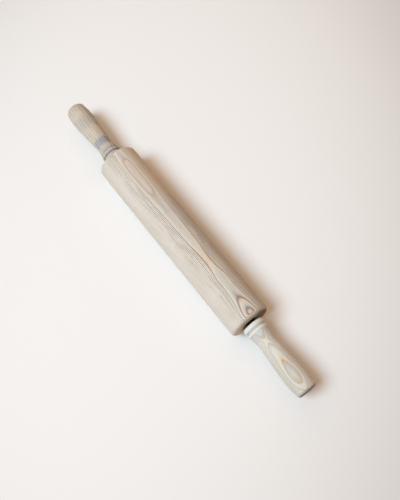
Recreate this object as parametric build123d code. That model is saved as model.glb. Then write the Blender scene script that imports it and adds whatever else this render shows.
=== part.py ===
from build123d import *

import os
from math import cos, radians, sin, tan

# Handled rolling pin. The barrel turns on a steel rod, in a ball bearing at each end.
# X runs along the pin towards the right handle, and Z is up.
# The origin is on the worktop, under the middle of the barrel. Lengths are millimetres.

# Barrel
barrel_diameter = 50.0
barrel_length = 262.0
rim_round_length = 4.0
rim_round_depth = 4.0
barrel_bore_clearance = 1.0

# Axle rod
rod_diameter = 10.0
journal_diameter = 8.0
rod_reach_into_handle = 17.0
rod_chamfer = 1.0

# Ball bearing
bearing_diameter = 22.0
bearing_width = 7.0
bearing_recess = 2.0
ball_count = 7
# The balls and the lands beside their grooves, as shares of the bearing's wall
ball_share = 0.567
land_share = 0.2
ball_clearance = 0.05
cage_thickness = 1.3
cage_width = 5.2
pocket_clearance = 0.1
ball_side_count = 10
ball_ring_count = 5

# Bearing shield
shield_thickness = 0.3
shield_seat_depth = 0.5
shield_ledge = 0.6
shield_to_inner_race = 0.3

# Spacer washer
washer_inset = 0.35
washer_clearance = 0.2

# Threaded insert
insert_diameter = 12.0
insert_length = 20.0
insert_flange_diameter = 15.0
insert_flange_thickness = 1.2

# Handle
handle_gap = 3.0
handle_length = 93.0
collar_face_radius = 12.5
collar_bead_radius = 13.4
collar_bead_width = 5.0
collar_cove_radius = 11.5
collar_cove_width = 2.8
small_bead_foot_radius = 12.0
small_bead_radius = 12.5
small_bead_width = 3.2
neck_start_radius = 11.8
shoulder_radius = 11.15
shoulder_place = 15.5
neck_radius = 10.2
neck_place = 24.5
flare_radius = 10.95
flare_place = 34.0
swell_radius = 12.9
swell_place = 58.0
grip_radius = 13.5
grip_place = 77.0
end_radius = 12.2
end_round = 3.5
pilot_bore_diameter = 8.6
pilot_bore_length = 30.0
drill_point_angle = 118.0

quarter_turn = 90.0
half_turn = 180.0
full_turn = 360.0
flank_angle = 45.0

barrel_radius = barrel_diameter / 2
barrel_end = barrel_length / 2
rod_radius = rod_diameter / 2
journal_radius = journal_diameter / 2
bearing_radius = bearing_diameter / 2
bearing_wall = bearing_radius - journal_radius
ball_radius = bearing_wall * ball_share / 2
pitch_radius = journal_radius + bearing_wall / 2
outer_land_radius = pitch_radius + bearing_wall * land_share
inner_land_radius = pitch_radius - bearing_wall * land_share
bearing_outer_face = barrel_end - bearing_recess
bearing_inner_face = bearing_outer_face - bearing_width
bearing_middle = bearing_outer_face - bearing_width / 2
shield_seat_radius = outer_land_radius + shield_ledge
handle_face = barrel_end + handle_gap


def turned(*points):
    """A solid turned about X from a closed outline of straight lines, given as (x, radius)."""
    return revolve(make_face(Polyline(*points, close=True)), Axis.X)


def ring(start, end, inner_radius, outer_radius):
    """A plain ring about X."""
    return turned(
        (start, inner_radius),
        (start, outer_radius),
        (end, outer_radius),
        (end, inner_radius),
    )


def barrel():
    """The wooden roller, with soft rims, a bore for the rod and a seat for each bearing."""
    bore_radius = rod_radius + barrel_bore_clearance
    rim_radius = barrel_radius - rim_round_depth
    rim_start = barrel_end - rim_round_length
    rim = TangentArc((rim_start, barrel_radius), (barrel_end, rim_radius), tangent=(1, 0))
    edges = [
        Line((0, bore_radius), (bearing_inner_face, bore_radius)),
        Line((bearing_inner_face, bore_radius), (bearing_inner_face, bearing_radius)),
        Line((bearing_inner_face, bearing_radius), (barrel_end, bearing_radius)),
        Line((barrel_end, bearing_radius), (barrel_end, rim_radius)),
        rim,
        Line((rim_start, barrel_radius), (0, barrel_radius)),
        Line((0, barrel_radius), (0, bore_radius)),
    ]
    half = make_face(edges)
    return revolve(half + mirror(half, about=Plane.YZ), Axis.X)


def axle_rod():
    """The steel rod: a thick middle that ends in a shoulder at each bearing, and thin ends."""
    end = handle_face + rod_reach_into_handle
    return turned(
        (-end, 0),
        (-end, journal_radius - rod_chamfer),
        (-end + rod_chamfer, journal_radius),
        (-bearing_inner_face, journal_radius),
        (-bearing_inner_face, rod_radius),
        (bearing_inner_face, rod_radius),
        (bearing_inner_face, journal_radius),
        (end - rod_chamfer, journal_radius),
        (end, journal_radius - rod_chamfer),
        (end, 0),
    )


def handle_outline():
    """The turned outline of a handle, from the collar's face to the middle of its end."""
    bead_end = handle_face + collar_bead_width
    cove_end = bead_end + collar_cove_width
    small_bead_end = cove_end + small_bead_width
    end = handle_face + handle_length
    bead = ThreePointArc(
        (handle_face, collar_face_radius),
        (handle_face + collar_bead_width / 2, collar_bead_radius),
        (bead_end, collar_face_radius),
    )
    cove = ThreePointArc(
        (bead_end, small_bead_foot_radius),
        (bead_end + collar_cove_width / 2, collar_cove_radius),
        (cove_end, small_bead_foot_radius),
    )
    small_bead = ThreePointArc(
        (cove_end, small_bead_foot_radius),
        (cove_end + small_bead_width / 2, small_bead_radius),
        (small_bead_end, small_bead_foot_radius),
    )
    grip = Spline(
        (small_bead_end, neck_start_radius),
        (handle_face + shoulder_place, shoulder_radius),
        (handle_face + neck_place, neck_radius),
        (handle_face + flare_place, flare_radius),
        (handle_face + swell_place, swell_radius),
        (handle_face + grip_place, grip_radius),
        (end - end_round, end_radius),
    )
    end_arc = CenterArc((end - end_round, end_radius - end_round), end_round, 0, quarter_turn)
    return [
        bead,
        Line((bead_end, collar_face_radius), (bead_end, small_bead_foot_radius)),
        cove,
        small_bead,
        Line((small_bead_end, small_bead_foot_radius), (small_bead_end, neck_start_radius)),
        grip,
        end_arc,
        Line((end, end_radius - end_round), (end, 0)),
    ]


def handle():
    """A turned handle, with its collar towards the barrel and a bore for the insert."""
    flange_end = handle_face + insert_flange_thickness
    insert_end = handle_face + insert_length
    pilot_end = handle_face + pilot_bore_length
    pilot_radius = pilot_bore_diameter / 2
    point_length = pilot_radius / sin(radians(drill_point_angle / 2))
    point_length = point_length * cos(radians(drill_point_angle / 2))
    bore = Polyline(
        (handle_face + handle_length, 0),
        (pilot_end + point_length, 0),
        (pilot_end, pilot_radius),
        (insert_end, pilot_radius),
        (insert_end, insert_diameter / 2),
        (flange_end, insert_diameter / 2),
        (flange_end, insert_flange_diameter / 2),
        (handle_face, insert_flange_diameter / 2),
        (handle_face, collar_face_radius),
    )
    return revolve(make_face(handle_outline() + [bore]), Axis.X)


def threaded_insert():
    """The flanged metal insert in the handle, which the rod's thin end screws into."""
    flange_end = handle_face + insert_flange_thickness
    insert_end = handle_face + insert_length
    return turned(
        (handle_face, journal_radius),
        (handle_face, insert_flange_diameter / 2),
        (flange_end, insert_flange_diameter / 2),
        (flange_end, insert_diameter / 2),
        (insert_end, insert_diameter / 2),
        (insert_end, journal_radius),
    )


def spacer_washer():
    """The washer between the bearing's inner race and the handle."""
    inner_radius = journal_radius + washer_clearance
    outer_radius = inner_land_radius - washer_inset
    return ring(bearing_outer_face, handle_face, inner_radius, outer_radius)


def raceway(land, bottom):
    """The outline of a ball groove, from one edge of its mouth at the land to the other.

    The flanks and the floor all stand off the ball by its clearance.
    """
    half_floor = (ball_radius + ball_clearance) * tan(radians(flank_angle / 2))
    half_mouth = half_floor + abs(bottom - land) / tan(radians(flank_angle))
    return [
        (bearing_middle - half_mouth, land),
        (bearing_middle - half_floor, bottom),
        (bearing_middle + half_floor, bottom),
        (bearing_middle + half_mouth, land),
    ]


def outer_race():
    """The outer race, with its ball groove and a stepped seat for each shield."""
    land = outer_land_radius
    seat = shield_seat_radius
    bottom = pitch_radius + ball_radius + ball_clearance
    return turned(
        *raceway(land, bottom),
        (bearing_outer_face - shield_seat_depth, land),
        (bearing_outer_face - shield_seat_depth, seat),
        (bearing_outer_face, seat),
        (bearing_outer_face, bearing_radius),
        (bearing_inner_face, bearing_radius),
        (bearing_inner_face, seat),
        (bearing_inner_face + shield_seat_depth, seat),
        (bearing_inner_face + shield_seat_depth, land),
    )


def inner_race():
    """The inner race, which the rod's journal passes through, with its ball groove."""
    land = inner_land_radius
    bottom = pitch_radius - ball_radius - ball_clearance
    return turned(
        *raceway(land, bottom),
        (bearing_outer_face, land),
        (bearing_outer_face, journal_radius),
        (bearing_inner_face, journal_radius),
        (bearing_inner_face, land),
    )


def ball_places():
    """The middle of each ball, evenly spaced on the pitch circle."""
    step = full_turn / ball_count
    return [
        Pos(bearing_middle, 0, 0) * Rot(step * place, 0, 0) * Pos(0, 0, pitch_radius)
        for place in range(ball_count)
    ]


def ball():
    """One steel ball as a faceted round, with its corners on the ball's surface."""
    tilts = [
        radians(half_turn * (row + 1) / (ball_ring_count + 1) - quarter_turn)
        for row in range(ball_ring_count)
    ]
    turns = [radians(full_turn * side / ball_side_count) for side in range(ball_side_count)]
    corners = [(0, 0, -ball_radius), (0, 0, ball_radius)]
    for tilt in tilts:
        for turn in turns:
            across = ball_radius * cos(tilt)
            corners.append((across * cos(turn), across * sin(turn), ball_radius * sin(tilt)))
    return ConvexPolyhedron(corners)


def balls():
    """The ring of steel balls."""
    return Compound(children=[place * ball() for place in ball_places()])


def cage():
    """The ring that keeps the balls apart, with a drilled pocket for each ball."""
    band = ring(
        bearing_middle - cage_width / 2,
        bearing_middle + cage_width / 2,
        pitch_radius - cage_thickness / 2,
        pitch_radius + cage_thickness / 2,
    )
    pocket = Cylinder(ball_radius + pocket_clearance, ball_radius * 2)
    for place in ball_places():
        band = band - place * pocket
    return band


def shield(face, inward):
    """A thin dust shield, pressed into a seat of the outer race, clear of the inner race."""
    seated = face + inward * shield_seat_depth
    outside = seated - inward * shield_thickness
    inner_radius = inner_land_radius + shield_to_inner_race
    return ring(min(seated, outside), max(seated, outside), inner_radius, shield_seat_radius)


def end_pieces():
    """The pieces of the right end by name."""
    return {
        "handle": handle(),
        "threaded_insert": threaded_insert(),
        "spacer_washer": spacer_washer(),
        "bearing_outer_race": outer_race(),
        "bearing_inner_race": inner_race(),
        "bearing_balls": balls(),
        "bearing_cage": cage(),
        "bearing_inner_shield": shield(bearing_inner_face, 1),
        "bearing_outer_shield": shield(bearing_outer_face, -1),
    }


nodes = {"barrel": barrel(), "axle_rod": axle_rod()}
for name, piece in end_pieces().items():
    nodes["right_" + name] = piece
    nodes["left_" + name] = mirror(piece, about=Plane.YZ)

os.makedirs("parts", exist_ok=True)
for name, piece in nodes.items():
    export_step(Pos(0, 0, barrel_radius) * piece, "parts/" + name + ".step")
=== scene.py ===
import math

import bmesh
import bpy
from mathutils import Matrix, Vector


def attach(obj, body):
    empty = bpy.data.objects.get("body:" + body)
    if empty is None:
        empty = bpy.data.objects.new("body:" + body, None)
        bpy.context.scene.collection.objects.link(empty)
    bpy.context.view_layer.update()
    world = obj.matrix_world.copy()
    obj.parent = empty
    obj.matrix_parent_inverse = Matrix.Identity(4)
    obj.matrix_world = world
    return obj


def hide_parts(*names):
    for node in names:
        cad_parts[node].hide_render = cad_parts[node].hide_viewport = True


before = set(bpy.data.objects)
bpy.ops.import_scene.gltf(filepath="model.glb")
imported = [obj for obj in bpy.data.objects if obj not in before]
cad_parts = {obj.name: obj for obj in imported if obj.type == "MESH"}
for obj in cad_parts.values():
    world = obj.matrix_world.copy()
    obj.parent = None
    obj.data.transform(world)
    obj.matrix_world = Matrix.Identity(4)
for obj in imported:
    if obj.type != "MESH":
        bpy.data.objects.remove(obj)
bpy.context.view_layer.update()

MM = 0.001

# Sizes in millimetres, as in the solids. X runs along the pin, from its middle.
AXIS_HEIGHT = 25.0
BARREL_RADIUS = 25.0
BARREL_END = 131.0
RIM_ROUND = 4.0
BORE_RADIUS = 6.0
SEAT_RADIUS = 11.0
SEAT_END = 122.0
HANDLE_FACE = 134.0
HANDLE_LENGTH = 93.0
HANDLE_END_RADIUS = 12.2
HANDLE_END_ROUND = 3.5

# How finely a turned mesh is cut, and from which angle its edges stay sharp
LATHE_SEGMENTS = 288
SHARP_EDGE = math.radians(38)


def srgb(red, green, blue):
    """A colour given as 0 to 255 display values, in linear light."""
    shares = [value / 255 for value in (red, green, blue)]
    linear = [s / 12.92 if s < 0.04045 else ((s + 0.055) / 1.055) ** 2.4 for s in shares]
    return (*linear, 1.0)


# ---------------------------------------------------------------- turned meshes


def arc(center, radius, start, end, steps):
    """Points on an arc, with its angles in degrees from the x direction."""
    angles = [math.radians(start + (end - start) * k / steps) for k in range(steps + 1)]
    return [(center[0] + radius * math.cos(a), center[1] + radius * math.sin(a)) for a in angles]


def bead(start, end, foot, top, steps):
    """Points on a bead's arc that rises from foot to top radius and back."""
    half = (end - start) / 2
    rise = top - foot
    radius = (half * half + rise * rise) / (2 * rise)
    spread = math.degrees(math.asin(half / radius))
    return arc((start + half, top - radius), radius, 90 + spread, 90 - spread, steps)


def lathe(name, outline, closed=False):
    """A mesh turned about the pin's axis from an outline of (x, radius) in millimetres."""
    vertices, rings = [], []
    for x, radius in outline:
        count = LATHE_SEGMENTS if radius > 0 else 1
        rings.append(range(len(vertices), len(vertices) + count))
        for k in range(count):
            turn = math.tau * k / LATHE_SEGMENTS
            side, up = radius * math.sin(turn), radius * math.cos(turn)
            vertices.append((x * MM, side * MM, (AXIS_HEIGHT + up) * MM))
    faces = []
    after = rings[1:] + rings[:1] if closed else rings[1:]
    for near, far in zip(rings, after):
        for k in range(LATHE_SEGMENTS):
            n = (k + 1) % LATHE_SEGMENTS
            quad = [near[k % len(near)], near[n % len(near)], far[n % len(far)], far[k % len(far)]]
            face = list(dict.fromkeys(quad))
            if len(face) > 2:
                faces.append(face)
    mesh = bpy.data.meshes.new(name)
    mesh.from_pydata(vertices, [], faces)
    shaped = bmesh.new()
    shaped.from_mesh(mesh)
    bmesh.ops.recalc_face_normals(shaped, faces=shaped.faces)
    shaped.to_mesh(mesh)
    shaped.free()
    mesh.polygons.foreach_set("use_smooth", [True] * len(mesh.polygons))
    mesh.set_sharp_from_angle(angle=SHARP_EDGE)
    piece = bpy.data.objects.new(name, mesh)
    bpy.context.collection.objects.link(piece)
    return piece


def mirrored(outline):
    """The same outline for the other end of the pin."""
    return [(-x, radius) for x, radius in outline]


def barrel_outline():
    """The barrel's outline: outer face with round rims, then the bore with a seat at each end."""
    rim = arc((BARREL_END - RIM_ROUND, BARREL_RADIUS - RIM_ROUND), RIM_ROUND, 90, 0, 20)
    seat = [
        (BARREL_END, SEAT_RADIUS + 0.4), (BARREL_END - 0.1, SEAT_RADIUS + 0.1),
        (BARREL_END - 0.4, SEAT_RADIUS), (SEAT_END, SEAT_RADIUS),
        (SEAT_END, BORE_RADIUS + 0.3), (SEAT_END - 0.3, BORE_RADIUS),
    ]
    straight = [(step * 12.5, BARREL_RADIUS) for step in range(1, 11)]
    right = straight + rim + seat
    return [(0.0, BARREL_RADIUS)] + right + mirrored(reversed(right))


# The grip's outline from the beads to the round end, as (distance from the collar, radius)
GRIP_CURVE = (
    (11.0, 11.8), (12.77, 11.55), (14.55, 11.291), (16.32, 11.028), (18.09, 10.771),
    (19.87, 10.538), (21.65, 10.351), (23.44, 10.231), (25.23, 10.198), (27.02, 10.255),
    (28.8, 10.382), (30.59, 10.557), (32.37, 10.759), (34.15, 10.967), (35.93, 11.164),
    (37.71, 11.349), (39.49, 11.523), (41.27, 11.687), (43.06, 11.841), (44.84, 11.987),
    (46.63, 12.126), (48.42, 12.258), (50.2, 12.385), (51.99, 12.508), (53.78, 12.627),
    (55.57, 12.743), (57.35, 12.859), (59.14, 12.973), (60.93, 13.085), (62.72, 13.193),
    (64.51, 13.292), (66.29, 13.38), (68.08, 13.453), (69.87, 13.51), (71.67, 13.546),
    (73.46, 13.558), (75.25, 13.543), (77.04, 13.499), (78.83, 13.422), (80.62, 13.31),
    (82.4, 13.163), (84.18, 12.98), (85.96, 12.759), (87.73, 12.499),
)


def handle_outline():
    """A handle's outline from its flat end, over the grip and the beads, to its bore's tip."""
    collar = bead(0.0, 5.0, 12.5, 13.4, 20)
    collar = [(0.0, 12.2)] + [(max(x, 0.12), radius) for x, radius in collar]
    cove = bead(5.0, 7.8, 12.0, 11.5, 12)
    small = bead(7.85, 11.0, 12.0, 12.5, 14)
    end_middle = (HANDLE_LENGTH - HANDLE_END_ROUND, HANDLE_END_RADIUS - HANDLE_END_ROUND)
    end = arc(end_middle, HANDLE_END_ROUND, 80, 0, 14)
    flat = [(HANDLE_LENGTH, radius) for radius in (5.0, 2.5, 0.0)]
    outside = collar + cove + small + list(GRIP_CURVE) + end + flat
    bore = [
        (0.0, 7.5), (1.2, 7.5), (1.2, 6.0), (20.0, 6.0), (20.0, 4.3), (30.0, 4.3), (32.58, 0.0),
    ]
    outline = list(reversed(outside)) + bore
    return [(HANDLE_FACE + x, radius) for x, radius in outline]


# ---------------------------------------------------------------- procedural materials


class Graph:
    """A material's node graph, built from the coordinates to the shader."""

    def __init__(self, name):
        self.material = bpy.data.materials.new(name)
        self.material.use_nodes = True
        self.tree = self.material.node_tree
        self.shader = self.tree.nodes["Principled BSDF"]

    def put(self, socket, value):
        """Links a socket to another, or sets its value."""
        if isinstance(value, bpy.types.NodeSocket):
            self.tree.links.new(value, socket)
        elif isinstance(value, (tuple, list)) and len(socket.default_value) == 3:
            socket.default_value = value[:3]
        else:
            socket.default_value = value

    def math(self, operation, *values):
        node = self.tree.nodes.new("ShaderNodeMath")
        node.operation = operation
        for socket, value in zip(node.inputs, values):
            self.put(socket, value)
        return node.outputs[0]

    def add(self, a, b):
        return self.math("ADD", a, b)

    def times(self, a, b):
        return self.math("MULTIPLY", a, b)

    def combine(self, x, y, z):
        node = self.tree.nodes.new("ShaderNodeCombineXYZ")
        for socket, value in zip(node.inputs, (x, y, z)):
            self.put(socket, value)
        return node.outputs[0]

    def noise(self, vector, detail=2.0, roughness=0.5):
        node = self.tree.nodes.new("ShaderNodeTexNoise")
        self.put(node.inputs["Vector"], vector)
        node.inputs["Scale"].default_value = 1.0
        node.inputs["Detail"].default_value = detail
        node.inputs["Roughness"].default_value = roughness
        return node.outputs[0]

    def map(self, value, low, high, to_low=0.0, to_high=1.0, smooth=True):
        node = self.tree.nodes.new("ShaderNodeMapRange")
        node.interpolation_type = "SMOOTHSTEP" if smooth else "LINEAR"
        for socket, item in zip(node.inputs, (value, low, high, to_low, to_high)):
            self.put(socket, item)
        return node.outputs[0]

    def ramp(self, factor, stops, interpolation="LINEAR"):
        node = self.tree.nodes.new("ShaderNodeValToRGB")
        node.color_ramp.interpolation = interpolation
        elements = node.color_ramp.elements
        for place, color in stops[2:]:
            elements.new(place)
        for element, (place, color) in zip(elements, stops):
            element.position = place
            element.color = color
        self.put(node.inputs[0], factor)
        return node.outputs[0]

    def curve(self, value, points):
        """A smooth curve through (value, result) points."""
        low, high = points[0][0], points[-1][0]
        results = [result for _, result in points]
        bottom, top = min(results), max(results)
        node = self.tree.nodes.new("ShaderNodeFloatCurve")
        line = node.mapping.curves[0]
        for _ in points[2:]:
            line.points.new(0.5, 0.5)
        scaled = [((p - low) / (high - low), (r - bottom) / (top - bottom)) for p, r in points]
        for point, place in zip(line.points, scaled):
            point.location = place
        node.mapping.update()
        self.put(node.inputs["Value"], self.map(value, low, high, smooth=False))
        return self.map(node.outputs[0], 0.0, 1.0, bottom, top, smooth=False)

    def mix(self, factor, a, b, blend="MIX"):
        node = self.tree.nodes.new("ShaderNodeMix")
        node.data_type = "RGBA"
        node.blend_type = blend
        colors = [s for s in node.inputs if s.type == "RGBA"]
        self.put(node.inputs[0], factor)
        self.put(colors[0], a)
        self.put(colors[1], b)
        return next(s for s in node.outputs if s.type == "RGBA")

    def bell(self, value, center, width):
        """One at the centre, falling away on both sides over the width."""
        shifted = self.math("DIVIDE", self.add(value, -center), width)
        return self.math("EXPONENT", self.times(self.times(shifted, shifted), -1.0))

    def millimetres(self):
        """The piece's own coordinates in millimetres, with the height counted from the axis."""
        place = self.tree.nodes.new("ShaderNodeTexCoord")
        split = self.tree.nodes.new("ShaderNodeSeparateXYZ")
        self.tree.links.new(place.outputs["Object"], split.inputs[0])
        x, y, z = [self.times(output, 1000.0) for output in split.outputs]
        return x, y, self.add(z, -AXIS_HEIGHT)

    def finish(self, color, roughness, height=None, bump=0.0, metallic=0.0, specular=0.5):
        self.put(self.shader.inputs["Base Color"], color)
        self.put(self.shader.inputs["Roughness"], roughness)
        self.shader.inputs["Metallic"].default_value = metallic
        self.shader.inputs["Specular IOR Level"].default_value = specular
        if height is not None:
            node = self.tree.nodes.new("ShaderNodeBump")
            node.inputs["Strength"].default_value = 1.0
            node.inputs["Distance"].default_value = bump * MM
            self.put(node.inputs["Height"], height)
            self.put(self.shader.inputs["Normal"], node.outputs[0])
        return self.material


def fibres(graph, x, y, z):
    """Fine streaks and open pores that run along the grain: (streak, pore), each 0 to 1."""
    streak = graph.noise(
        graph.combine(graph.times(x, 0.035), graph.times(y, 1.3), graph.times(z, 1.3)), 3.0, 0.6
    )
    speck = graph.noise(
        graph.combine(graph.times(x, 0.16), graph.times(y, 3.4), graph.times(z, 3.4)), 1.0, 0.5
    )
    return streak, graph.map(speck, 0.56, 0.70)


def end_grain(graph):
    """How far the surface turns to face along the grain, from 0 to 1."""
    place = graph.tree.nodes.new("ShaderNodeTexCoord")
    split = graph.tree.nodes.new("ShaderNodeSeparateXYZ")
    graph.tree.links.new(place.outputs["Normal"], split.inputs[0])
    return graph.map(graph.math("ABSOLUTE", split.outputs[0]), 0.72, 1.0)


def wood_finish(graph, color, streak, pore, pore_share, ring_line, end_grain_and_shade_tone):
    """Adds streaks, pores, darker end grain with painted shade on the end faces, and a washed
    surface to the ring colours.
    """
    light = graph.map(streak, 0.25, 0.75, 0.93, 1.06)
    color = graph.mix(1.0, color, graph.combine(light, light, light), "MULTIPLY")
    color = graph.mix(end_grain(graph), color, graph.mix(1.0, color, end_grain_and_shade_tone, "MULTIPLY"))
    color = graph.mix(graph.times(pore, pore_share), color, srgb(120, 104, 90))
    height = graph.add(graph.times(pore, -0.8), graph.times(ring_line, -0.5))
    height = graph.add(height, graph.times(streak, 0.4))
    roughness = graph.map(streak, 0.2, 0.8, 0.55, 0.72)
    return graph.finish(color, roughness, height, 0.05, specular=0.25)


# The barrel's rings lie round the heart of its log, which runs beside and below the pin's axis.
# The outermost ones are evenly spaced, and below LAST_EVEN their number goes with a root.
HEART_SIDE = -2.4
HEART_DEPTH = -60.0
HEART_REACH = 85.0
LAST_EVEN = -0.67
EVEN_START, EVEN_STEP = 0.15, 0.82
ROOT_SHARE, ROOT_START, ROOT_STEP = 70.8, 6.887, 1.55


def barrel_wood():
    """Pale washed ash with an open figure along its top and rows of pores on both sides."""
    graph = Graph("barrel_wood")
    x, y, z = graph.millimetres()
    wander = graph.noise(
        graph.combine(graph.times(x, 0.03), graph.times(y, 0.12), graph.times(z, 0.12)), 3.0, 0.55
    )
    side = graph.add(y, -HEART_SIDE)
    depth = graph.add(z, -HEART_DEPTH)
    reach = graph.math("SQRT", graph.add(graph.times(side, side), graph.times(depth, depth)))
    wave = graph.curve(x, (
        (-133, -0.20), (-120, -0.13), (-92, 0.18), (-70, 0.10), (-51, 0.0), (-38, -0.06),
        (-13, -0.12), (21, -0.30), (50, -0.46), (61, -0.42), (75, -0.17), (92, -0.12),
        (99.5, -0.04), (106.5, 0.18), (112, 0.44), (117.6, 0.72), (122, 0.93), (127, 1.08),
        (133, 1.02),
    ))
    eye = graph.curve(x, (
        (-133, 0.0), (-122, 0.02), (-113, 0.14), (-109, 0.36), (-100, 0.48), (-83, 0.44),
        (-66, 0.40), (-58, 0.27), (-52, 0.10), (-46, 0.02), (-38, 0.0),
    ))
    above = graph.map(z, 10.0, 20.0)
    eye = graph.times(graph.times(eye, graph.bell(y, 2.8, 5.3)), above)
    level = graph.add(graph.add(graph.add(reach, -HEART_REACH), wave), eye)
    level = graph.add(level, graph.times(graph.add(wander, -0.5), 0.24))
    ripple = graph.noise(
        graph.combine(graph.times(x, 0.14), graph.times(y, 0.5), graph.times(z, 0.5)), 2.0, 0.6
    )
    level = graph.add(level, graph.times(graph.add(ripple, -0.5), 0.10))
    even = graph.add(graph.math("MAXIMUM", level, LAST_EVEN), -EVEN_START)
    even = graph.math("DIVIDE", even, EVEN_STEP)
    drop = graph.times(graph.math("MINIMUM", level, LAST_EVEN), -ROOT_SHARE)
    root = graph.add(graph.math("SQRT", drop), -ROOT_START)
    number = graph.add(even, graph.math("DIVIDE", root, -ROOT_STEP))
    phase = graph.math("FRACT", number)
    rings = graph.ramp(phase, (
        (0.0, srgb(150, 138, 130)), (0.07, srgb(166, 150, 140)), (0.15, srgb(220, 184, 158)),
        (0.28, srgb(226, 208, 186)), (0.45, srgb(218, 208, 194)), (0.72, srgb(208, 200, 188)),
        (0.86, srgb(178, 172, 166)), (0.96, srgb(156, 148, 143)), (1.0, srgb(150, 138, 130)),
    ))
    cool = graph.ramp(phase, (
        (0.0, srgb(128, 116, 106)), (0.06, srgb(150, 138, 126)), (0.13, srgb(230, 218, 202)),
        (0.24, srgb(226, 214, 198)), (0.45, srgb(216, 207, 193)), (1.0, srgb(204, 196, 186)),
    ))
    pinched = graph.bell(x, 46.0, 15.0)
    outer = graph.times(graph.map(number, -0.45, -0.60), graph.math("SUBTRACT", 1.0, pinched))
    rings = graph.mix(outer, rings, cool)
    inner = graph.times(graph.map(x, -50.0, -36.0, 1.0, 0.0), graph.map(number, -0.5, -0.3))
    rings = graph.mix(graph.times(inner, 0.62), rings, srgb(214, 196, 180))
    patch = graph.noise(
        graph.combine(graph.times(x, 0.02), graph.times(y, 0.09), graph.times(z, 0.09)), 2.0, 0.5
    )
    plain = graph.mix(graph.map(patch, 0.35, 0.65), srgb(213, 201, 184), srgb(219, 207, 194))
    # Painted shade: the plain wood darkens towards +y, on the side the key light misses
    painted_shade_tone = graph.mix(graph.map(x, -70.0, -25.0), srgb(208, 183, 156), srgb(192, 172, 152))
    plain = graph.mix(graph.times(graph.map(y, 2.0, 18.0), 0.92), plain, painted_shade_tone)
    reach_of_rows = graph.noise(graph.combine(graph.times(x, 0.09), 3.0, 0.0), 2.0, 0.6)
    low = graph.add(y, graph.times(graph.add(reach_of_rows, -0.5), 11.0))
    show = graph.times(graph.map(low, -20.0, -10.0), graph.map(y, 14.0, 20.0, 1.0, 0.2))
    beyond = graph.map(number, -1.03, -0.97, 1.0, 0.0)
    color = graph.mix(graph.math("SUBTRACT", 1.0, beyond), plain, rings)
    row = graph.math("COSINE", graph.times(number, math.tau))
    each = graph.times(graph.math("ROUND", number), 7.3)
    dash = graph.noise(graph.combine(graph.times(x, 0.55), each, 0.0), 1.0)
    long = graph.noise(graph.combine(graph.times(x, 0.035), each, 9.0), 1.0)
    dash = graph.map(dash, 0.35, 0.60, 0.62, 1.0)
    share = graph.times(dash, graph.map(long, 0.36, 0.58, 0.25, 1.0))
    share = graph.math("MAXIMUM", share, graph.map(number, -1.7, -1.4, 0.0, 0.9))
    beyond = graph.times(beyond, show)
    early = graph.times(graph.map(y, 2.0, 6.0), graph.map(x, -55.0, -15.0, 1.0, 0.0))
    beyond = graph.times(beyond, graph.math("SUBTRACT", 1.0, graph.times(early, 0.8)))
    dark = graph.times(graph.times(graph.map(row, -0.2, 0.9), share), beyond)
    pale = graph.times(graph.map(row, 0.3, -0.8), beyond)
    color = graph.mix(graph.times(pale, 0.55), color, srgb(234, 224, 210))
    color = graph.mix(graph.times(dark, 0.85), color, srgb(104, 90, 78))
    line = graph.math("MAXIMUM", dark, graph.math("LESS_THAN", phase, 0.10))
    streak, pore = fibres(graph, x, y, z)
    pore_share = graph.add(0.07, graph.times(show, 0.10))
    # The end faces darken towards +y: painted shade where the key light misses, over the end grain's
    # own darker tone
    end_grain_and_shade_tone = graph.mix(graph.map(y, 3.0, 13.0), srgb(246, 238, 230), srgb(172, 156, 142))
    return wood_finish(graph, color, streak, pore, pore_share, line, end_grain_and_shade_tone)


# How far the right handle's grain leans, and how far the left one's is turned about the axis
RIGHT_LEAN = math.radians(-12.5)
LEFT_TURN = math.radians(14.8)
# The length that the colour bands along a handle are given over
BAND_LENGTH = 93.5


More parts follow.
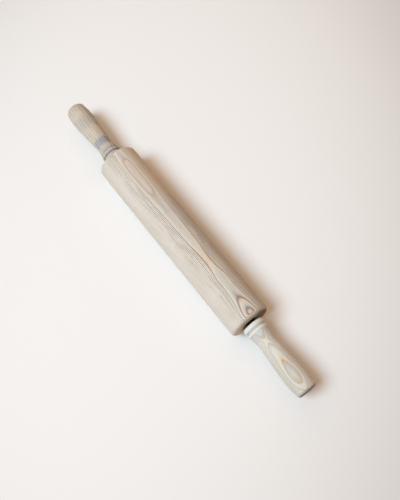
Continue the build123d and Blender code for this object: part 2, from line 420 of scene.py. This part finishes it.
def right_handle_wood():
    """Washed ash whose flat grain makes an oval eye on the grip, with pale turned beads."""
    graph = Graph("right_handle_wood")
    x, y, z = graph.millimetres()
    place = graph.add(x, -HANDLE_FACE)
    wander = graph.noise(
        graph.combine(graph.times(x, 0.05), graph.times(y, 0.15), graph.times(z, 0.15)), 2.0, 0.5
    )
    height = graph.add(
        graph.times(y, math.sin(RIGHT_LEAN)), graph.times(z, math.cos(RIGHT_LEAN))
    )
    height = graph.add(height, graph.times(graph.add(wander, -0.5), 0.4))
    ripple = graph.noise(
        graph.combine(graph.times(x, 0.22), graph.times(y, 0.7), graph.times(z, 0.7)), 2.0, 0.6
    )
    height = graph.add(height, graph.times(graph.add(ripple, -0.5), 0.34))
    height = graph.add(height, graph.curve(place, (
        (0, 0.5), (11, 0.34), (21, 0.0), (25.2, -0.08), (29.3, 0.0), (36, 0.2), (42, 0.2),
        (48, 0.0), (54, -0.14), (69, -0.22), (83, -0.75), (94, -1.2),
    )))
    number = graph.curve(height, (
        (-14, -9), (-8, -5), (0, -0.5), (3.5, 2), (5.2, 3), (6.6, 4), (7.5, 5), (8.4, 6),
        (9.35, 7), (10.42, 8), (12.42, 9), (14, 9.8),
    ))
    phase = graph.math("FRACT", number)
    rings = graph.ramp(phase, (
        (0.0, srgb(200, 172, 136)), (0.06, srgb(204, 188, 164)), (0.15, srgb(194, 193, 192)),
        (0.34, srgb(204, 201, 195)), (0.58, srgb(221, 214, 203)), (0.86, srgb(224, 216, 201)),
        (0.94, srgb(218, 200, 170)), (1.0, srgb(200, 172, 136)),
    ))
    turned = graph.map(place, 10.2, 11.6)
    color = graph.mix(turned, srgb(230, 225, 214), rings)
    # Bands along the handle: pale beads, painted blue-grey shade in the cove between them, and
    # painted shade over the round end
    bands_and_painted_shade = graph.ramp(graph.map(place, 0.0, BAND_LENGTH, smooth=False), (
        (0.0, srgb(255, 255, 252)), (0.052, srgb(255, 255, 252)), (0.060, srgb(206, 212, 224)),
        (0.080, srgb(206, 212, 224)), (0.088, srgb(255, 253, 246)), (0.112, srgb(255, 253, 246)),
        (0.125, srgb(240, 241, 244)), (0.18, srgb(246, 245, 244)), (0.24, srgb(252, 250, 246)),
        (0.96, srgb(252, 250, 246)), (0.982, srgb(212, 204, 194)), (1.0, srgb(168, 158, 148)),
    ))
    color = graph.mix(1.0, color, bands_and_painted_shade, "MULTIPLY")
    washed = graph.mix(1.0, color, (0.030, 0.042, 0.056, 1.0), "ADD")
    color = graph.mix(graph.map(place, 52.0, 34.0), color, washed)
    streak, pore = fibres(graph, x, y, z)
    line = graph.times(graph.math("LESS_THAN", phase, 0.05), turned)
    # The end tone darkens the end grain and also paints the shade on the handle's end
    return wood_finish(graph, color, streak, pore, 0.16, line, srgb(214, 206, 198))


def left_handle_wood():
    """Washed ash with straight lines along it and blue-grey stain round the neck."""
    graph = Graph("left_handle_wood")
    x, y, z = graph.millimetres()
    place = graph.add(graph.times(x, -1.0), -HANDLE_FACE)
    wander = graph.noise(
        graph.combine(graph.times(x, 0.04), graph.times(y, 0.15), graph.times(z, 0.15)), 2.0, 0.5
    )
    across = graph.add(
        graph.times(y, math.cos(LEFT_TURN)), graph.times(z, math.sin(LEFT_TURN))
    )
    number = graph.times(graph.add(across, graph.times(graph.add(wander, -0.5), 5.0)), 0.30)
    phase = graph.math("FRACT", number)
    rings = graph.ramp(phase, (
        (0.0, srgb(160, 147, 136)), (0.08, srgb(186, 172, 158)), (0.2, srgb(210, 198, 182)),
        (0.6, srgb(211, 200, 186)), (0.88, srgb(200, 189, 177)), (1.0, srgb(160, 147, 136)),
    ))
    faint = graph.noise(graph.combine(graph.times(x, 0.06), graph.math("ROUND", number), 5.0), 1.0)
    rings = graph.mix(graph.map(faint, 0.38, 0.62, 0.0, 0.7), rings, srgb(211, 199, 184))
    edge = graph.noise(graph.combine(graph.times(y, 0.25), graph.times(z, 0.25), 0.0), 2.0, 0.5)
    where = graph.add(place, graph.times(graph.add(edge, -0.5), 5.0))
    stain = graph.ramp(graph.map(where, 0.0, BAND_LENGTH, smooth=False), (
        (0.0, srgb(255, 255, 255)), (0.10, srgb(250, 250, 252)), (0.125, srgb(212, 218, 232)),
        (0.150, srgb(214, 220, 233)), (0.175, srgb(246, 244, 240)), (0.225, srgb(244, 242, 240)),
        (0.25, srgb(208, 216, 231)), (0.325, srgb(206, 215, 230)), (0.37, srgb(252, 250, 242)),
        (0.52, srgb(255, 251, 242)), (0.62, srgb(238, 238, 238)), (0.72, srgb(238, 238, 240)),
        (0.80, srgb(255, 250, 244)), (1.0, srgb(246, 242, 238)),
    ), "EASE")
    away = graph.map(across, -11.0, -5.0, 0.35, 1.0)
    color = graph.mix(away, rings, graph.mix(1.0, rings, stain, "MULTIPLY"))
    # Bands along the handle: painted blue-grey shade in the cove between the beads, by the barrel's
    # rim, and a pale small bead
    bands_and_painted_shade = graph.ramp(graph.map(place, 0.0, BAND_LENGTH, smooth=False), (
        (0.0, srgb(238, 244, 242)), (0.050, srgb(240, 244, 240)), (0.058, srgb(176, 186, 208)),
        (0.080, srgb(178, 188, 210)), (0.088, srgb(255, 252, 242)), (0.114, srgb(255, 252, 242)),
        (0.122, srgb(255, 255, 255)), (1.0, srgb(255, 255, 255)),
    ))
    color = graph.mix(1.0, color, bands_and_painted_shade, "MULTIPLY")
    # Painted shade: the handle darkens on its +y side, away from the key light
    far = graph.map(across, 4.0, 11.0)
    painted_shade_color = graph.mix(1.0, color, srgb(226, 218, 212), "MULTIPLY")
    color = graph.mix(graph.times(far, 0.5), color, painted_shade_color)
    streak, pore = fibres(graph, x, y, z)
    line = graph.math("LESS_THAN", phase, 0.08)
    # The end tone darkens the end grain and also paints the shade on the handle's end
    return wood_finish(graph, color, streak, pore, 0.20, line, srgb(214, 208, 202))


def metal(name, color, roughness, grain):
    """A turned or ground metal, with fine marks round the axis."""
    graph = Graph(name)
    x, y, z = graph.millimetres()
    radius = graph.math("SQRT", graph.add(graph.times(y, y), graph.times(z, z)))
    marks = graph.noise(graph.combine(graph.times(x, 6.0), graph.times(radius, 6.0), 0.0), 2.0, 0.6)
    tone = graph.map(marks, 0.3, 0.7, 1.0 - grain, 1.0)
    shade = graph.mix(1.0, color, graph.combine(tone, tone, tone), "MULTIPLY")
    rough = graph.map(marks, 0.3, 0.7, roughness * 1.25, roughness)
    return graph.finish(shade, rough, marks, 0.01, metallic=1.0)


def plastic(name, color):
    """A moulded plastic with a faint mottle."""
    graph = Graph(name)
    x, y, z = graph.millimetres()
    grain = graph.noise(graph.combine(graph.times(x, 2.0), graph.times(y, 2.0), graph.times(z, 2.0)))
    tone = graph.map(grain, 0.3, 0.7, 0.96, 1.0)
    shade = graph.mix(1.0, color, graph.combine(tone, tone, tone), "MULTIPLY")
    return graph.finish(shade, graph.map(grain, 0.3, 0.7, 0.5, 0.4), grain, 0.01)


def paint(piece, material):
    """Gives a piece its one material."""
    piece.data.materials.clear()
    piece.data.materials.append(material)


# ---------------------------------------------------------------- the object

barrel = lathe("barrel_turned", barrel_outline(), closed=True)
paint(barrel, barrel_wood())
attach(barrel, "barrel")
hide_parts("barrel")

for side, outline, material in (
    ("right", handle_outline(), right_handle_wood()),
    ("left", mirrored(handle_outline()), left_handle_wood()),
):
    handle = lathe(side + "_handle_turned", outline)
    paint(handle, material)
    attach(handle, "axle")
    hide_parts(side + "_handle")

rod_steel = metal("rod_steel", srgb(200, 200, 200), 0.28, 0.12)
zinc_steel = metal("zinc_steel", srgb(204, 206, 208), 0.38, 0.15)
# The spacer washer and the bearing shields are dark: painted shade in the gap between the barrel's
# end and the handle
shade_painted_washer = metal("shade_painted_washer", srgb(58, 54, 50), 0.62, 0.15)
bearing_steel = metal("bearing_steel", srgb(198, 198, 200), 0.22, 0.08)
ball_steel = metal("ball_steel", srgb(215, 215, 216), 0.10, 0.02)
shield_steel = metal("shield_steel", srgb(96, 92, 88), 0.50, 0.14)
cage_plastic = plastic("cage_plastic", srgb(228, 220, 196))
finishes = {
    "axle_rod": rod_steel,
    "threaded_insert": zinc_steel,
    "spacer_washer": shade_painted_washer,
    "bearing_outer_race": bearing_steel,
    "bearing_inner_race": bearing_steel,
    "bearing_balls": ball_steel,
    "bearing_cage": cage_plastic,
    "bearing_inner_shield": shield_steel,
    "bearing_outer_shield": shield_steel,
}
for name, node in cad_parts.items():
    kind = name.removeprefix("left_").removeprefix("right_")
    if kind in finishes:
        for place in node.material_slots:
            place.material = finishes[kind]

# ---------------------------------------------------------------- floor, light and camera

# A pool of light is painted into the floor's colour. POOL_MIDDLE is in metres, POOL_SHAPE holds the
# shares of xx, yy and xy in its oval, and POOL_LEAST is how much of it is left far away.
PAPER = srgb(212, 206, 200)
PAINTED_POOL_FLOOR = srgb(245, 242, 239)
FAR_FLOOR = srgb(192, 187, 183)
POOL_MIDDLE = (-0.092, 0.014)
POOL_SHAPE = (1.0, 1.04, 0.914)
POOL_FALL = 17.3
POOL_LEAST = 0.46
FLOOR_HALF = 3.0


def floor_material():
    """Pale paper with a soft pool of painted light round the pin, that runs on evenly into the
    distance.
    """
    graph = Graph("floor_paper")
    place = graph.tree.nodes.new("ShaderNodeTexCoord")
    split = graph.tree.nodes.new("ShaderNodeSeparateXYZ")
    graph.tree.links.new(place.outputs["Object"], split.inputs[0])
    x = graph.add(split.outputs[0], -POOL_MIDDLE[0])
    y = graph.add(split.outputs[1], -POOL_MIDDLE[1])
    products = (graph.times(x, x), graph.times(y, y), graph.times(x, y))
    away = 0.0
    for product, share in zip(products, POOL_SHAPE):
        away = graph.add(away, graph.times(product, share))
    pool = graph.math("EXPONENT", graph.times(graph.times(away, away), -POOL_FALL))
    pool = graph.math("SMOOTH_MAX", pool, POOL_LEAST, 0.1)
    far = graph.map(graph.math("SQRT", away), 0.60, 0.95)
    color = graph.mix(pool, FAR_FLOOR, PAINTED_POOL_FLOOR)
    material = graph.finish(color, 0.9, specular=0.0)
    path = graph.tree.nodes.new("ShaderNodeLightPath")
    paper = graph.tree.nodes.new("ShaderNodeEmission")
    paper.inputs[0].default_value = PAPER
    chosen = graph.tree.nodes.new("ShaderNodeMixShader")
    graph.put(chosen.inputs[0], graph.times(path.outputs["Is Camera Ray"], far))
    graph.put(chosen.inputs[1], graph.shader.outputs[0])
    graph.put(chosen.inputs[2], paper.outputs[0])
    graph.put(graph.tree.nodes["Material Output"].inputs[0], chosen.outputs[0])
    return material


def plane(name, half):
    """A square plane at floor height."""
    mesh = bpy.data.meshes.new(name)
    corners = [(-half, -half, 0), (half, -half, 0), (half, half, 0), (-half, half, 0)]
    mesh.from_pydata(corners, [], [(0, 1, 2, 3)])
    piece = bpy.data.objects.new(name, mesh)
    bpy.context.collection.objects.link(piece)
    return piece


floor = plane("floor", FLOOR_HALF)
paint(floor, floor_material())


def aimed(item, place, target):
    """Puts a light or camera at a place, looking at a target, with its top upwards."""
    item.location = place
    item.rotation_euler = (Vector(target) - Vector(place)).to_track_quat("-Z", "Y").to_euler()
    bpy.context.collection.objects.link(item)


# The key light: its height, its turn to the left, and its distance in metres
LIGHT_HEIGHT = math.radians(55.0)
LIGHT_TURN = math.radians(8.0)
LIGHT_REACH = 4.0
LIGHT_SPREAD = LIGHT_REACH * math.cos(LIGHT_HEIGHT)
key_data = bpy.data.lights.new("key", "AREA")
key_data.shape = "DISK"
key_data.size = 2.0
key_data.energy = 146.0
key_data.color = (0.64, 0.84, 1.0)
aimed(
    bpy.data.objects.new("key", key_data),
    (
        -LIGHT_SPREAD * math.sin(LIGHT_TURN),
        -LIGHT_SPREAD * math.cos(LIGHT_TURN),
        LIGHT_REACH * math.sin(LIGHT_HEIGHT),
    ),
    (0.0, 0.0, 0.0),
)

FILL_FROM = (-0.25, 0.0, 0.968)
FILL_COLOR = (1.0, 0.70, 0.47, 1.0)
FILL_LOBE, FILL_EVEN = 0.60, 0.23


def room():
    """A soft warm fill from above; the camera itself sees pale paper beyond the floor."""
    world = bpy.data.worlds.new("room")
    world.use_nodes = True
    tree = world.node_tree
    place = tree.nodes.new("ShaderNodeTexCoord")
    towards = tree.nodes.new("ShaderNodeVectorMath")
    towards.operation = "DOT_PRODUCT"
    towards.inputs[1].default_value = FILL_FROM
    above = tree.nodes.new("ShaderNodeClamp")
    lobe = tree.nodes.new("ShaderNodeMath")
    lobe.operation = "POWER"
    lobe.inputs[1].default_value = 2.0
    level = tree.nodes.new("ShaderNodeMath")
    level.operation = "MULTIPLY_ADD"
    level.inputs[1].default_value = FILL_LOBE
    level.inputs[2].default_value = FILL_EVEN
    fill = tree.nodes["Background"]
    fill.inputs[0].default_value = FILL_COLOR
    paper = tree.nodes.new("ShaderNodeBackground")
    paper.inputs[0].default_value = PAPER
    path = tree.nodes.new("ShaderNodeLightPath")
    chosen = tree.nodes.new("ShaderNodeMixShader")
    for start, end in (
        (place.outputs["Generated"], towards.inputs[0]),
        (towards.outputs["Value"], above.inputs[0]),
        (above.outputs[0], lobe.inputs[0]),
        (lobe.outputs[0], level.inputs[0]),
        (level.outputs[0], fill.inputs[1]),
        (path.outputs["Is Camera Ray"], chosen.inputs[0]),
        (fill.outputs[0], chosen.inputs[1]),
        (paper.outputs[0], chosen.inputs[2]),
        (chosen.outputs[0], tree.nodes["World Output"].inputs[0]),
    ):
        tree.links.new(start, end)
    return world


bpy.context.scene.world = room()

CAMERA_PLACE = (0.2663, -0.1742, 0.7116)
CAMERA_TARGET = (0.0182, 0.0151, 0.0)

camera_data = bpy.data.cameras.new("camera")
camera_data.lens = 46.4
camera_data.sensor_width = 36.0
camera_data.clip_start = 0.01
camera = bpy.data.objects.new("camera", camera_data)
aimed(camera, CAMERA_PLACE, CAMERA_TARGET)
bpy.context.scene.camera = camera

bpy.context.scene.view_settings.view_transform = "Standard"
